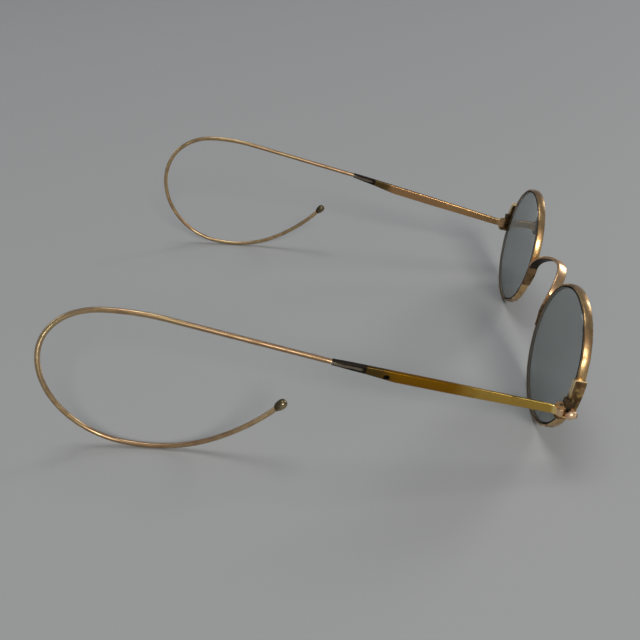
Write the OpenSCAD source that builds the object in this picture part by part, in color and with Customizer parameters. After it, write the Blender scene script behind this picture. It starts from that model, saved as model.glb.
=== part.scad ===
// Round-eyed spectacles with a saddle bridge and wound cable ear hooks, standing open.
// The front faces -Y, the temples run back along +Y and the wearer's left is +X.
// Z = 0 is the surface that the two rims and the two ear hooks rest on.

/* [Lenses] */
// Diameter of each round lens at its bevelled edge
lens_d = 38.4; // [35:0.2:42]
// Distance between the two lens centres
lens_spacing = 62; // [58:0.5:68]
// Thickness of a lens at its edge
lens_edge = 1.4; // [1.1:0.1:1.6]
// Radius of a lens's front curve
lens_curve = 120; // [90:5:300]
// Forward lean of the front, in degrees
front_tilt = 8; // [4:0.5:11]

/* [Rims] */
// Width of the rim band from front to back
rim_w = 2.2; // [2:0.1:2.8]
// How far the rim's lips reach over the lens
rim_lip = 0.35; // [0.25:0.05:0.5]
// Metal outside the lens edge
rim_wall = 0.45; // [0.35:0.05:0.7]
// Rounding of the rim's corners
rim_round = 0.25; // [0.15:0.05:0.3]
// Width of the cut that splits each rim at its joint
rim_split = 0.25; // [0.15:0.05:0.5]

/* [Bridge] */
// Width of the bridge's strip
bridge_w = 2.8; // [2.2:0.1:3.4]
// Thickness of the bridge's strip
bridge_t = 0.9; // [0.7:0.05:1.3]
// Height of the bridge's crest above the lens centres
bridge_rise = 11.2; // [9:0.1:15]
// How far the crest stands in front of the rims
bridge_reach = 3.8; // [2:0.1:6]
// Lean of the strip at its crest, in degrees
bridge_lean = 16; // [0:1:30]
// Angle from a lens's middle line down to the end of a foot
foot_down = 11; // [6:1:20]
// Angle from a lens's middle line up to where the strip leaves the rim
foot_up = 8; // [3:1:14]

/* [Endpieces] */
// Thickness of the endpiece straps
strap_t = 1.25; // [1.1:0.05:1.6]
// Width of the endpiece straps
strap_w = 3.1; // [2.6:0.1:3.6]
// How far the straps sit behind the rim's middle
strap_back = 0.5; // [0:0.1:0.8]
// Angle from a lens's middle line up to the end of an upper strap
strap_up = 20; // [16:1:26]
// Angle from a lens's middle line down to the end of a lower strap
strap_down = 12; // [10:1:13]
// Height of the upper lug over the temple's knuckle
upper_lug_h = 0.6; // [0.5:0.1:1]
// How far the lugs reach in front of the joint's axis
lug_forward = 2.3; // [2.2:0.1:2.6]
// Height of the block of metal that carries the upper lug in front of the joint
block_h = 2.3; // [1.6:0.1:3]
// How far the block's back stands in front of the joint's axis
block_forward = 0.6; // [0.3:0.1:1.2]
// Height of the lower lug under the knuckle
lower_lug_h = 0.8; // [0.6:0.1:1]
// Diameter of the ball on a lower endpiece's front
ball_d = 2.5; // [2.2:0.1:2.5]
// How far the ball stands in front of the joint's axis
ball_forward = 2.4; // [2.3:0.1:2.8]
// How far the ball stands outside the joint's axis
ball_out = 1.1; // [1:0.1:1.4]
// How far the ball's middle lies below the knuckle's
ball_drop = 0.4; // [0.2:0.1:0.8]

/* [Joints] */
// How far the joint sits below the lens centres
joint_drop = 1.58; // [1:0.02:4]
// How far the joint's axis stands outside the rim
joint_out = 0.98; // [0.9:0.02:1.3]
// Diameter of a temple's knuckle and of the lugs
knuckle_d = 2.6; // [2.4:0.1:2.8]
// Height of a knuckle
knuckle_h = 2.1; // [2:0.1:2.8]
// Space between a knuckle and the rim in front of it
knuckle_gap = 0.4; // [0.3:0.05:0.5]
// Space between a knuckle and each lug
lug_play = 0.05; // [0.03:0.01:0.1]
// Diameter of a joint screw's shank
screw_d = 0.9; // [0.8:0.05:1.1]
// Radial play of the screw in the knuckle
screw_play = 0.05; // [0.02:0.01:0.09]
// Radial space of the screw in the lugs
screw_seat = 0.02; // [0.01:0.01:0.05]
// Diameter of a joint screw's head
screw_head_d = 1.8; // [1.5:0.1:2.2]
// Height of a joint screw's head
screw_head_h = 0.5; // [0.4:0.05:0.8]

/* [Temple bars] */
// Length of a bar from the joint's axis to the ferrule
bar_len = 50.2; // [40:0.5:60]
// Thickness of a bar
bar_t = 1.1; // [0.9:0.05:1.3]
// Height of a bar at its back
bar_h = 3; // [2.5:0.1:3.4]
// Height of a bar at the joint
bar_front_h = 2.3; // [2:0.1:2.8]
// Rounding of a bar's long edges
bar_round = 0.25; // [0.15:0.05:0.4]
// Length over which a bar tapers to its ferrule
taper_len = 7.5; // [5:0.5:10]
// Outward splay of the open temples, in degrees
splay = 4.8; // [0:0.2:7]
// Diameter of the dimple near a bar's back end
dimple_d = 1.4; // [1:0.1:1.8]
// Depth of that dimple
dimple_depth = 0.3; // [0.1:0.05:0.5]

/* [Ferrules] */
// Length of a ferrule
ferrule_len = 8.5; // [6:0.5:12]
// Height of a ferrule where it meets the bar
ferrule_h = 2.2; // [1.8:0.1:2.6]
// Wall of a ferrule round the cable's end
ferrule_wall = 0.12; // [0.08:0.01:0.25]

/* [Cables] */
// Outer diameter of the wound cable
cable_d = 1.4; // [1:0.05:1.5]
// Diameter of the core wire inside the winding
core_d = 0.64; // [0.4:0.02:0.7]
// Radial space between the core and the winding
core_play = 0.04; // [0.02:0.01:0.08]
// Inward bend of a cable where it leaves its ferrule, in degrees
toe_in = 4; // [0:0.2:6]
// Rise of a cable's straight run above level, in degrees
cable_rise = 14.3; // [8:0.1:20]
// Length of a cable's straight run
cable_straight = 39.1; // [30:0.5:50]
// Radius of a cable's first gentle bend
shoulder_r = 59.2; // [50:0.5:70]
// Turn of that bend, in degrees
shoulder_turn = 15.1; // [10:0.1:20]
// Radius over the ear
crown_r = 19.6; // [17:0.2:23]
// Turn over the ear, in degrees
crown_turn = 70.5; // [64:0.5:76]
// Radius behind the ear
back_r = 22.4; // [20:0.2:25]
// Turn behind the ear, in degrees
back_turn = 97.6; // [92:0.5:102]
// Radius under the ear lobe
sole_r = 38.3; // [34:0.5:44]
// Turn under the ear lobe, in degrees
sole_turn = 36.3; // [30:0.5:42]
// Radius of the cable's end
tail_r = 61.9; // [55:0.5:70]
// Turn of the cable's end, in degrees
tail_turn = 20; // [12:0.5:26]

/* [Tips] */
// Length of the tip on a cable's end
tip_len = 3.3; // [2.8:0.1:4.2]
// Diameter of the tip
tip_d = 2.5; // [2.1:0.1:3]
// Depth to which the core wire enters the tip
tip_socket = 1.6; // [1:0.1:2]
// Depth to which the core wire enters the ferrule
ferrule_socket = 3; // [2:0.2:4]

/* [Hidden] */
right = -1;
left = 1;
$fn = 64;

// Radii of the lens and of the rim that holds it
lens_r = lens_d / 2;
lens_seat = 0.05;
lip_r = lens_r - rim_lip;
rim_r = lens_r + rim_wall;

// The rims' middle plane leans about its lowest edge, which touches Z = 0
front_z = (rim_r - rim_round) * cos(front_tilt) + (rim_w / 2 - rim_round) * sin(front_tilt)
    + rim_round;
joint_z = front_z - joint_drop;
joint_angle = asin(joint_drop / cos(front_tilt) / rim_r);
lens_x = lens_spacing / 2;

// The joint's axis, counted from the rims' middle plane
knuckle_r = knuckle_d / 2;
rim_side = lens_x + rim_r * cos(joint_angle);
rim_back = rim_w / 2 * cos(front_tilt) + joint_drop * tan(front_tilt);
pin_x = rim_side + joint_out;
pin_y = rim_back + knuckle_gap + knuckle_r;

// Reach and height of a temple: the bar rises just enough to set its ear hook on Z = 0
arcs = [[shoulder_r, shoulder_turn], [crown_r, crown_turn], [back_r, back_turn],
    [sole_r, sole_turn], [tail_r, tail_turn]];
cable_r = cable_d / 2;
ferrule_end_d = cable_d + 2 * ferrule_wall;
temple_run = bar_len + ferrule_len;
cable_lift = bar_h / 2 - ferrule_end_d / 2;
hook_low = min([for (i = [0:len(arcs) - 1]) arc_low(i)]);
bar_rise = asin((cable_r - joint_z - hook_low) / norm([temple_run, cable_lift]))
    - atan(cable_lift / temple_run);
cable_start = on_bar(temple_run, cable_lift);
cable_yaw = splay - toe_in;
hook_back = max([for (i = [0:len(arcs) - 1]) arc_back(i)]) + cable_r;

// The bridge's strip, as rings from the left foot over the crest to the right foot
foot_steps = 4;
arch_steps = 14;
half_steps = foot_steps + arch_steps;
bridge_rings = [for (k = [0:2 * half_steps]) bridge_ring(k)];

// The origin is under the middle of the whole object
front_end = min([for (ring = bridge_rings) for (p = ring) leaned(p)[1]]);
back_end = pin_y + cable_start[1] * cos(splay) + hook_back * cos(cable_yaw);
middle_y = (front_end + back_end) / 2;

// Gold, dark brass, steel and bronze, as worn metal, and smoked glass
gold = [0.66, 0.50, 0.27];
copper = [0.62, 0.42, 0.26];
brass = [0.42, 0.32, 0.16];
grey = [0.40, 0.38, 0.35];
tan_gold = [0.74, 0.60, 0.40];
bronze = [0.32, 0.27, 0.19];
smoke = [0.30, 0.34, 0.33, 0.75];

function unit(v) = v / norm(v);

// A point of the front's middle plane, leaned with the front
function leaned(p) = [p[0], p[1] * cos(front_tilt) - p[2] * sin(front_tilt),
    p[1] * sin(front_tilt) + p[2] * cos(front_tilt)];

// A point s along a bar and q above its middle line, in the bar's upright plane
function on_bar(s, q) = [0, s * cos(bar_rise) - q * sin(bar_rise),
    s * sin(bar_rise) + q * cos(bar_rise)];

// A cable's bends lie in one plane: distance back, then height, from the straight run's start
function turned(i) = i == 0 ? 0 : turned(i - 1) + arcs[i - 1][1];
function heading(i) = cable_rise - turned(i);
function arc_start(i) = i == 0 ? cable_straight * [cos(cable_rise), sin(cable_rise)]
    : arc_middle(i - 1) + arcs[i - 1][0] * [-sin(heading(i)), cos(heading(i))];
function arc_middle(i) = arc_start(i) + arcs[i][0] * [sin(heading(i)), -cos(heading(i))];
function arc_low(i) = heading(i) >= -180 && heading(i + 1) <= -180
    ? arc_middle(i)[1] - arcs[i][0] : min(arc_start(i)[1], arc_start(i + 1)[1]);
function arc_back(i) = heading(i) >= -90 && heading(i + 1) <= -90
    ? arc_middle(i)[0] + arcs[i][0] : max(arc_start(i)[0], arc_start(i + 1)[0]);

// Stops along a cable's run, as [back, up, heading], and a wire's rings at them; the rings
// start so far before the run and end so far past it
bend_step = 1.6;
function bend_stops(i) = let (steps = ceil(arcs[i][0] * arcs[i][1] * PI / 180 / bend_step))
    [for (j = [0:steps]) let (h = heading(i) - arcs[i][1] * j / steps,
        p = arc_middle(i) + arcs[i][0] * [-sin(h), cos(h)]) [p[0], p[1], h]];
function past(stop, s) = stop + [s * cos(stop[2]), s * sin(stop[2]), 0];
function wire_ring(stop, r) = [for (a = [0:30:330]) [stop[0] - r * cos(a) * sin(stop[2]),
    stop[1] + r * cos(a) * cos(stop[2]), r * sin(a)]];
function wire_rings(r, before, after) = let (first = [0, 0, cable_rise],
    stops = [for (i = [0:len(arcs) - 1]) let (bend = bend_stops(i))
        for (j = [i == 0 ? 0 : 1:len(bend) - 1]) bend[j]],
    last = stops[len(stops) - 1])
    [for (stop = concat([past(first, -before)], stops, after > 0 ? [past(last, after)] : []))
        wire_ring(stop, r)];

// Outline of a strip w wide and h high with rounded corners, as [across, up] pairs
function outline(w, h, round, steps) = [for (corner = [0:3]) for (j = [0:steps])
    let (a = 90 * corner + 90 * j / steps)
    [(corner == 0 || corner == 3 ? 1 : -1) * (w / 2 - round) + round * cos(a),
        (corner < 2 ? 1 : -1) * (h / 2 - round) + round * sin(a)]];

// The bridge's middle line: up the rim's side, then a curve to the crest
function foot_point(a) = [lens_x - (rim_r + bridge_t / 2 + lens_seat / 2) * cos(a), 0,
    (rim_r + bridge_t / 2) * sin(a)];
function arch_point(t) = let (a = foot_point(foot_up), d = [0, -bridge_reach, bridge_rise],
    b = a + 0.5 * (bridge_rise - a[2]) * [sin(foot_up), 0, cos(foot_up)],
    c = d + [0.5 * a[0], 0, 0])
    pow(1 - t, 3) * a + 3 * t * pow(1 - t, 2) * b + 3 * t * t * (1 - t) * c + pow(t, 3) * d;
function half_point(j) = j <= foot_steps
    ? foot_point(-foot_down + (foot_down + foot_up) * j / foot_steps)
    : arch_point((j - foot_steps) / arch_steps);
function bridge_point(k) = let (p = half_point(k <= half_steps ? k : 2 * half_steps - k))
    [(k <= half_steps ? 1 : -1) * p[0], p[1], p[2]];
function bridge_ring(k) = let (
    along = unit(bridge_point(min(k + 1, 2 * half_steps)) - bridge_point(max(k - 1, 0))),
    climb = max(0, (half_steps - abs(k - half_steps) - foot_steps) / arch_steps),
    level = [0, cos(bridge_lean * climb), sin(bridge_lean * climb)],
    across = unit(level - (level * along) * along),
    out = cross(along, across))
    [for (p = outline(bridge_w, bridge_t, bridge_t / 4, 2))
        bridge_point(k) + p[0] * across + p[1] * out];

// A ring of a bar or ferrule: w wide and h high, s along the bar and q above its middle line
function bar_ring(s, q, w, h, round) = [for (p = outline(w, h, round, 3))
    on_bar(s, q + p[1]) - [p[0], 0, 0]];

// The round ring at a ferrule's end, square to the cable
function cable_ring(d) = [for (p = outline(d, d, d / 2, 3)) cable_start
    - p[0] * [cos(toe_in), sin(toe_in), 0]
    + p[1] * [sin(toe_in) * sin(cable_rise), -cos(toe_in) * sin(cable_rise), cos(cable_rise)]];

// A point of the tip's outline: radius, then distance from the cable's end
function egg(a) = [tip_d / 2 * sin(a) * (1 - 0.15 * cos(a)) + cable_r * pow(cos(a / 2), 6),
    tip_len / 2 * (1 - cos(a))];

// A closed skin over a row of rings with equal point counts, or a skin that joins the last
// ring to the first instead of closing both ends
module loft(rings, ring_shaped = false) {
    n = len(rings[0]);
    total = len(rings) * n;
    skin = [for (i = [0:len(rings) - (ring_shaped ? 1 : 2)]) for (j = [0:n - 1])
        let (a = i * n + j, b = i * n + (j + 1) % n, c = (a + n) % total, d = (b + n) % total)
        each [[a, c, b], [b, c, d]]];
    caps = [[for (j = [0:n - 1]) j], [for (j = [n - 1:-1:0]) total - n + j]];
    polyhedron(points = [for (ring = rings) each ring],
        faces = ring_shaped ? skin : concat(skin, caps));
}

// Places: the whole object about its middle, one side of it, and the frames of its pieces
module place(side) {
    translate([0, -middle_y, 0]) mirror([side == right ? 1 : 0, 0, 0]) children();
}

module on_lens() {
    translate([lens_x, 0, front_z]) rotate([front_tilt, 0, 0]) rotate([90, 0, 0]) children();
}

module on_joint() {
    translate([pin_x, pin_y, joint_z]) children();
}

module on_temple() {
    on_joint() rotate([0, 0, -splay]) children();
}

module on_cable() {
    on_temple() translate(cable_start) rotate([0, 0, toe_in]) rotate([90, 0, 90]) children();
}

// One lens: a bevelled edge between a domed front and a hollow back
module lens(side) {
    bevel = rim_lip / (lens_edge / 2);
    deep = 5;
    edge = lens_edge / 2;
    back_curve = lens_curve - lens_edge;
    front_middle = edge - sqrt(pow(lens_curve, 2) - pow(lip_r, 2));
    back_middle = -edge - sqrt(pow(back_curve, 2) - pow(lip_r, 2));
    color(smoke) place(side) on_lens() rotate_extrude($fn = 128) difference() {
        intersection() {
            polygon([[0, -deep], [lens_r - bevel * deep, -deep], [lens_r, 0],
                [lens_r - bevel * deep, deep], [0, deep]]);
            translate([0, front_middle]) circle(r = lens_curve, $fn = 1440);
        }
        translate([0, back_middle]) circle(r = back_curve, $fn = 1440);
    }
}

// One rim: a band with rounded edges and a groove for the lens, split at the joint
module eyewire(side) {
    band = rim_r - lip_r;
    groove = lens_edge / 2 + lens_seat;
    slope = (rim_lip + lens_seat) / groove;
    color(gold) place(side) difference() {
        on_lens() rotate_extrude($fn = 128) difference() {
            translate([lip_r + band / 2, 0]) rounded(band, rim_w, rim_round);
            polygon([[lip_r - slope * rim_w, -groove - rim_w], [lip_r - slope * rim_w, groove + rim_w],
                [lip_r, groove], [lens_r + lens_seat, 0], [lip_r, -groove]]);
        }
        translate([rim_side - rim_w, -rim_w * 2, joint_z - rim_split / 2])
            cube([2 * rim_w, 4 * rim_w, rim_split]);
    }
}

// A rectangle about the origin with true round corners
module rounded(w, h, round) {
    square([w - 2 * round, h], center = true);
    square([w, h - 2 * round], center = true);
    for (x = [-1, 1]) {
        for (y = [-1, 1]) {
            translate([x * (w / 2 - round), y * (h / 2 - round)]) circle(r = round, $fn = 24);
        }
    }
}

// The saddle bridge with its two soldered feet
module bridge() {
    color(copper) place(left) translate([0, 0, front_z]) rotate([front_tilt, 0, 0])
        loft(bridge_rings);
}

// The strap of an endpiece, lapped over the outside of the rim
module strap() {
    lap = rim_round;
    on_lens() rotate([0, 0, -strap_down]) rotate_extrude(angle = strap_up + strap_down, $fn = 128)
        translate([rim_r - lap, -strap_w / 2 - strap_back]) square([strap_t + lap, strap_w]);
}

// The rim's own band, cut out of whatever is soldered to it
module rim_band() {
    on_lens() cylinder(r = rim_r, h = rim_w, center = true, $fn = 128);
}

// The room in which a temple's knuckle turns
module knuckle_room() {
    on_joint() cylinder(r = knuckle_r + knuckle_gap / 2, h = knuckle_h + 2 * lug_play,
        center = true);
}

// The room of the ball's upper half beside the upper strap
module ball_room() {
    on_joint() translate([ball_out, -ball_forward, -ball_drop])
        cylinder(d = ball_d + 2 * lug_play, h = ball_d / 2 + lug_play);
}

// The room of the screw's head behind the lower strap
module head_room() {
    on_joint() mirror([0, 0, 1]) cylinder(d = screw_head_d + 2 * screw_play, h = lens_r);
}

// A lug: a round plate over the knuckle, squared off towards the strap
module lug(h) {
    linear_extrude(h) {
        circle(d = knuckle_d);
        translate([-knuckle_r, -lug_forward]) square([knuckle_d, lug_forward]);
    }
}

// All that lies above a height, or below it
module above(z) {
    translate([0, -lens_d, z]) cube([lens_d * 3, lens_d * 2, lens_d]);
}

module below(z) {
    translate([0, -lens_d, z - lens_d]) cube([lens_d * 3, lens_d * 2, lens_d]);
}

// The upper endpiece: strap, lug and the block of metal between them
module endpiece_upper(side) {
    color(brass) place(side) difference() {
        union() {
            difference() {
                intersection() {
                    strap();
                    above(joint_z + rim_split / 2);
                }
                knuckle_room();
                ball_room();
            }
            on_joint() translate([0, 0, knuckle_h / 2 + lug_play]) {
                lug(upper_lug_h);
                translate([-knuckle_r, -lug_forward, 0])
                    cube([knuckle_d, lug_forward - block_forward, block_h]);
            }
        }
        rim_band();
        on_joint() cylinder(d = screw_d + 2 * screw_seat, h = lens_d);
    }
}

// The lower endpiece: a short strap, the ball in front and the lug under the knuckle
module endpiece_lower(side) {
    color(brass) place(side) difference() {
        union() {
            difference() {
                intersection() {
                    strap();
                    below(joint_z - rim_split / 2);
                }
                knuckle_room();
                head_room();
            }
            on_joint() translate([ball_out, -ball_forward, -ball_drop]) sphere(d = ball_d);
            on_joint() translate([0, 0, -knuckle_h / 2 - lug_play - lower_lug_h])
                lug(lower_lug_h);
        }
        rim_band();
        on_joint() mirror([0, 0, 1]) cylinder(d = screw_d + 2 * screw_seat, h = lens_d);
    }
}

// The screw that is the joint's pin and draws the split rim together
module joint_screw(side) {
    bottom = knuckle_h / 2 + lug_play + lower_lug_h;
    top = knuckle_h / 2 + lug_play + upper_lug_h;
    slot_w = screw_head_d / 6;
    color(grey) place(side) on_joint() difference() {
        union() {
            translate([0, 0, -bottom]) cylinder(d = screw_d, h = bottom + top);
            translate([0, 0, -bottom - screw_head_h]) cylinder(d = screw_head_d, h = screw_head_h);
        }
        translate([-screw_head_d, -slot_w / 2, -bottom - screw_head_h * 3 / 2])
            cube([2 * screw_head_d, slot_w, screw_head_h]);
    }
}

// One flat bar with its knuckle and a dimple near its back end
module temple_bar(side) {
    taper = bar_len - taper_len;
    back_q = bar_h / 2 - ferrule_h / 2;
    room = knuckle_d / 2 + lug_play + screw_play;
    color(gold) place(side) on_temple() difference() {
        union() {
            loft([bar_ring(0, 0, bar_t, bar_front_h, bar_round),
                bar_ring(taper / 2, 0, bar_t, bar_front_h * 0.3 + bar_h * 0.7, bar_round),
                bar_ring(taper, 0, bar_t, bar_h, bar_round),
                bar_ring(bar_len, back_q, bar_t, ferrule_h, bar_round)]);
            cylinder(d = knuckle_d, h = knuckle_h, center = true);
        }
        for (z = [knuckle_h / 2, -knuckle_h / 2 - bar_h]) {
            translate([0, 0, z]) cylinder(r = room, h = bar_h);
        }
        cylinder(d = screw_d + 2 * screw_play, h = 2 * knuckle_h, center = true);
        translate(on_bar(bar_len - taper_len * 0.7, -bar_h / 8) + [bar_t / 2 - dimple_depth, 0, 0])
            rotate([0, 90, 0]) cylinder(d = dimple_d, h = bar_t);
    }
}

// One tapered ferrule, from the bar's flat end to the round cable
module ferrule(side) {
    color(grey) place(side) difference() {
        on_temple() loft([bar_ring(bar_len, bar_h / 2 - ferrule_h / 2, bar_t, ferrule_h, bar_round),
            cable_ring(ferrule_end_d)]);
        on_cable_start() translate([0, 0, -ferrule_socket])
            cylinder(d = core_d + 2 * core_play, h = 2 * ferrule_socket, $fn = 32);
    }
}

module on_cable_start() {
    on_cable() rotate([0, 0, cable_rise]) rotate([0, 90, 0]) children();
}

module on_cable_end() {
    on_cable() translate(arc_start(len(arcs))) rotate([0, 0, heading(len(arcs))])
        rotate([0, 90, 0]) children();
}

// The steel core, from inside the ferrule to inside the tip
module core_wire(side) {
    color(grey) place(side) on_cable()
        loft(wire_rings(core_d / 2, ferrule_socket - core_play, tip_socket - core_play));
}

// The winding round the core, drawn as the tube that its turns lie in
module cable_winding(side) {
    outside = wire_rings(cable_r, 0, 0);
    inside = wire_rings(core_d / 2 + core_play, 0, 0);
    color(tan_gold) place(side) on_cable()
        loft(concat(outside, [for (i = [len(inside) - 1:-1:0]) inside[i]]), ring_shaped = true);
}

// One egg-shaped tip, its blunt end outwards
module tip(side) {
    steps = 24;
    color(bronze) place(side) on_cable_end() difference() {
        rotate_extrude() polygon(concat([[0, 0]], [for (i = [0:steps]) egg(180 * i / steps)]));
        cylinder(d = core_d + 2 * core_play, h = 2 * tip_socket, center = true, $fn = 32);
    }
}

lens(right);  // right_lens
lens(left);  // left_lens
eyewire(right);  // right_eyewire
eyewire(left);  // left_eyewire
bridge();
endpiece_upper(right);  // right_endpiece_upper
endpiece_upper(left);  // left_endpiece_upper
endpiece_lower(right);  // right_endpiece_lower
endpiece_lower(left);  // left_endpiece_lower
joint_screw(right);  // right_joint_screw
joint_screw(left);  // left_joint_screw
temple_bar(right);  // right_temple_bar
temple_bar(left);  // left_temple_bar
ferrule(right);  // right_ferrule
ferrule(left);  // left_ferrule
core_wire(right);  // right_core_wire
core_wire(left);  // left_core_wire
cable_winding(right);  // right_cable_winding
cable_winding(left);  // left_cable_winding
tip(right);  // right_tip
tip(left);  // left_tip
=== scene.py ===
"""Round-eyed glasses with a saddle bridge and wound cable temples, open on a pale table."""
import math

import bmesh
import bpy
from mathutils import Matrix, Vector


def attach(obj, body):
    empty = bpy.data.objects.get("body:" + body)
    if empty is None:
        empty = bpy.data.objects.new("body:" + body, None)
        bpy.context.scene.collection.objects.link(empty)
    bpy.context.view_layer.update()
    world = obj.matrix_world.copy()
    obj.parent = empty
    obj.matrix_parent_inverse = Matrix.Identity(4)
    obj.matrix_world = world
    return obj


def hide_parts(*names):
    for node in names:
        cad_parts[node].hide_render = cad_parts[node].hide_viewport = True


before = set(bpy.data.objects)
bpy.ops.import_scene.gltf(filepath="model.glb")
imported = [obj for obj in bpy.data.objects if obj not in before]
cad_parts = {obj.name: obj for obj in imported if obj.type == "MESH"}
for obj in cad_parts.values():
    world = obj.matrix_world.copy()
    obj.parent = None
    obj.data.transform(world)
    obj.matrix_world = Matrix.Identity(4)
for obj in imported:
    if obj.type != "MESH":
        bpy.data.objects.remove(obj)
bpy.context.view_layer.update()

# Lenses: two round smoked-glass lenses, each ground to a sharp bevel all round its edge so that
# it locks into the groove of its rim and stands a little proud of it. The back is hollow and
# the front is domed. The ground bevel is painted metallic brass in the groove, painted light for
# the lit gold seen through the glass, and black outside it, painted shade in the gap by the lip.

MM = 0.001
SIDES = {"left": 1, "right": -1}

lens_radius = 19.2 * MM  # to the bevel's point
lens_lip = 18.85 * MM  # to the rim's lips, which hold the bevel
lens_edge = 0.7 * MM  # half the bevel's thickness between the lips
glass_half = 1.18 * MM  # half the glass's thickness inside the bevel
glass_flat = lens_radius - (lens_radius - lens_lip) * glass_half / lens_edge
lens_curve, curve_steps = 120 * MM, 24
lens_middle = 31.0 * MM
front_lean = math.radians(8)
front_y, front_z = -63.2639 * MM, 19.5795 * MM
smoke, smeared_smoke = (0.31, 0.345, 0.34, 1), (0.37, 0.40, 0.39, 1)
# Painted light and shade on the ground bevel: lit brass in the groove, black in the gap by the lip
groove_painted_light, gap_painted_shade = (0.95, 0.70, 0.42, 1), (0.01, 0.01, 0.01, 1)

# The rims' own frame: x across, y back and z up, about the middle of the two lenses
FRONT = Matrix.Translation((0, front_y, front_z)) @ Matrix.Rotation(front_lean, 4, "X")

# A lens's own frame has its z axis forward, so that its outline's height is its thickness
LENS = FRONT @ Matrix.Translation((lens_middle, 0, 0)) @ Matrix.Rotation(math.radians(90), 4, "X")


class Output:
    """One output of a material's nodes. Sums written with it add the Math nodes they need."""

    def __init__(self, tree, socket=None):
        self.tree = tree
        self.socket = socket

    def node(self, kind, settings=None, sockets=None, output=0):
        """Adds a node, sets it, then sets or links its sockets, and gives one of its outputs."""
        node = self.tree.nodes.new("ShaderNode" + kind)
        for name, value in (settings or {}).items():
            setattr(node, name, value)
        for name, value in (sockets or {}).items():
            if isinstance(value, Output):
                self.tree.links.new(value.socket, node.inputs[name])
            else:
                node.inputs[name].default_value = value
        return Output(self.tree, node.outputs[output] if node.outputs else None)

    def maths(self, operation, *others):
        """A Math node that takes this number first."""
        return self.node("Math", {"operation": operation}, dict(enumerate((self,) + others)))

    def __add__(self, other):
        return self.maths("ADD", other)

    def __sub__(self, other):
        return self.maths("SUBTRACT", other)

    def __rsub__(self, other):
        return self.node("Math", {"operation": "SUBTRACT"}, {0: other, 1: self})

    def __mul__(self, other):
        return self.maths("MULTIPLY", other)

    __radd__ = __add__
    __rmul__ = __mul__

    def __pow__(self, other):
        return self.maths("POWER", other)

    def __abs__(self):
        return self.maths("ABSOLUTE")

    def step(self, low, high):
        """0 below low, 1 above high and a smooth rise between them; it falls if low is higher."""
        return self.node("MapRange", {"interpolation_type": "SMOOTHSTEP"},
                         {"Value": self, "From Min": low, "From Max": high})

    def tint(self, none, full):
        """A colour between the two given, by this number."""
        return self.node("Mix", {"data_type": "RGBA"}, {0: self, 6: none, 7: full}, output=2)

    def noise(self, scale, detail=3.0):
        """Cloudy grain, so many clouds to the metre, read at this place."""
        return self.node("TexNoise", {}, {"Vector": self, "Scale": scale, "Detail": detail,
                                          "Roughness": 0.55})

    def part(self, axis):
        """One coordinate of this place."""
        return self.node("SeparateXYZ", {}, {"Vector": self}, output=axis)

    def folded(self):
        """This place, or its mirror image on the left side if it lies on the right side."""
        return self.node("CombineXYZ", {}, {"X": abs(self.part("X")), "Y": self.part("Y"),
                                            "Z": self.part("Z")})

    def away(self, point):
        """Distance of the folded place from a point, in metres."""
        return self.node("VectorMath", {"operation": "DISTANCE"}, {0: self.folded(), 1: point},
                         output="Value")

    def along(self, matrix, axis):
        """Coordinate of the folded place in a frame, along its first, second or third axis."""
        offset = self.node("VectorMath", {"operation": "SUBTRACT"},
                           {0: self.folded(), 1: matrix.translation})
        return self.node("VectorMath", {"operation": "DOT_PRODUCT"},
                         {0: offset, 1: matrix.col[axis].to_3d()}, output="Value")

    def bump(self, height):
        """The normal of a surface that this number raises by up to height metres."""
        return self.node("Bump", {}, {"Height": self, "Distance": height, "Strength": 1.0})


def new_material(name):
    """An empty material, and the place on the surface that its patterns start from."""
    material = bpy.data.materials.new(name)
    material.use_nodes = True
    material.node_tree.nodes.clear()
    return material, Output(material.node_tree).node("TexCoord", output="Object")


def finish_material(place, sockets):
    """Closes a material with one Principled shader that has these sockets."""
    shader = place.node("BsdfPrincipled", {}, sockets)
    place.node("OutputMaterial", {}, {"Surface": shader})


def make_piece(name, bm, material, body, nodes, sharp=35):
    """Turns a bmesh into a smooth-shaded piece that rides on a body and stands for its nodes."""
    mesh = bpy.data.meshes.new(name)
    bm.to_mesh(mesh)
    bm.free()
    for polygon in mesh.polygons:
        polygon.use_smooth = True
    mesh.set_sharp_from_angle(angle=math.radians(sharp))
    piece = bpy.data.objects.new(name, mesh)
    bpy.context.scene.collection.objects.link(piece)
    mesh.materials.append(material)
    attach(piece, body)
    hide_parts(*nodes)
    return piece


def set_on_side(bm, side, matrix):
    """Puts a mesh made for the left side in its place, mirrored for the right side."""
    mirror = Matrix.Scale(SIDES[side], 4, (1, 0, 0))
    bmesh.ops.transform(bm, matrix=mirror @ matrix, verts=bm.verts)
    bmesh.ops.recalc_face_normals(bm, faces=bm.faces)


def spin_outline(outline, turn=2 * math.pi, steps=192):
    """Spins a row of [radius, height] points about the z axis, from the x axis round. The row
    closes on itself unless both its ends are on the axis."""
    bm = bmesh.new()
    verts = [bm.verts.new((r, 0, z)) for r, z in outline]
    edges = [bm.edges.new(pair) for pair in zip(verts, verts[1:])]
    if (outline[0][0], outline[-1][0]) != (0, 0):
        edges.append(bm.edges.new((verts[-1], verts[0])))
    full = turn > 2 * math.pi - 1e-6
    bmesh.ops.spin(bm, geom=verts + edges, axis=(0, 0, 1), cent=(0, 0, 0), angle=turn,
                   steps=steps, use_merge=full)
    if not full:
        close_holes(bm)
    bmesh.ops.remove_doubles(bm, verts=bm.verts, dist=1e-7)
    bmesh.ops.recalc_face_normals(bm, faces=bm.faces)
    return bm


def close_holes(bm):
    """Puts a flat face over each open end."""
    bmesh.ops.holes_fill(bm, edges=[e for e in bm.edges if e.is_boundary], sides=0)


def arc(middle, radius, start, end, steps):
    """Points on an arc, from one angle in degrees to another."""
    angles = [math.radians(start + (end - start) * i / steps) for i in range(steps + 1)]
    return [(middle[0] + radius * math.cos(a), middle[1] + radius * math.sin(a)) for a in angles]


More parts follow.
